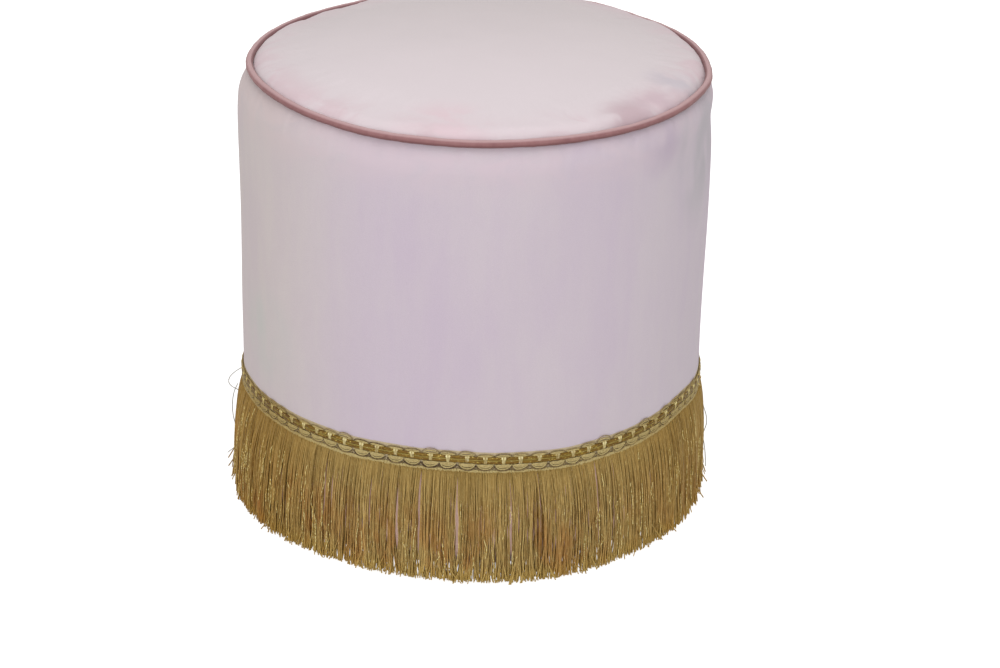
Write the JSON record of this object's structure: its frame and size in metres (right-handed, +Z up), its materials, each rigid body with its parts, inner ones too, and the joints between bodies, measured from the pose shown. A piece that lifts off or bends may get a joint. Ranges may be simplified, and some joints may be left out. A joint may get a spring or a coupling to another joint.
{
  "type": "pouf",
  "caption": "Round upholstered pouf: a padded velvet drum with a piped, domed seat and a thread fringe hung from a corded heading round its foot.",
  "frame": {"origin": "on the floor, under the middle of the drum", "axes": "+Z up along the drum's axis, -Y towards the viewer, the joins of wall and trim at the back on +Y"},
  "size_m": [0.3686, 0.3686, 0.35],
  "materials": {
    "velvet": "pale blush velvet with a short pile",
    "piping_satin": "dusty rose satin-backed bias strip",
    "cotton_cord": "twisted cotton",
    "wadding": "white polyester wadding",
    "foam": "cream polyurethane foam",
    "plywood": "raw birch plywood",
    "batten": "planed pine",
    "hardboard": "raw hardboard",
    "lining": "black non-woven dust cloth",
    "glide_plastic": "black, lightly textured",
    "zinc_steel": "zinc plated",
    "tape": "woven gold tape",
    "gold_cord": "twisted metallic gold thread",
    "gold_wrap": "pale gold thread wraps",
    "gimp": "woven gold gimp",
    "fringe_thread": "bronze gold thread with a metallic glint"
  },
  "bodies": {
    "root": {"base_board": "plywood", "seat_board": "plywood", "frame_post_1": "batten", "frame_post_2": "batten", "frame_post_3": "batten", "frame_post_4": "batten", "wall_panel": "hardboard", "base_screws": "zinc_steel", "seat_screws": "zinc_steel", "side_foam": "foam", "seat_foam": "foam", "seat_wadding": "wadding", "seat_cover": "velvet", "side_cover": "velvet", "piping_casing": "piping_satin", "piping_cord": "cotton_cord", "dust_cover": "lining", "hem_staples": "zinc_steel", "dust_cover_staples": "zinc_steel", "glide_1": "glide_plastic", "glide_2": "glide_plastic", "glide_3": "glide_plastic", "glide_4": "glide_plastic", "glide_screws": "zinc_steel", "heading_tape": "tape", "upper_heading_cord": "gold_cord", "lower_heading_cord": "gold_cord", "heading_bars": "gold_wrap", "upper_scallops": "gimp", "lower_scallops": "gimp", "fringe_strands": "fringe_thread"}
  },
  "joints": []
}
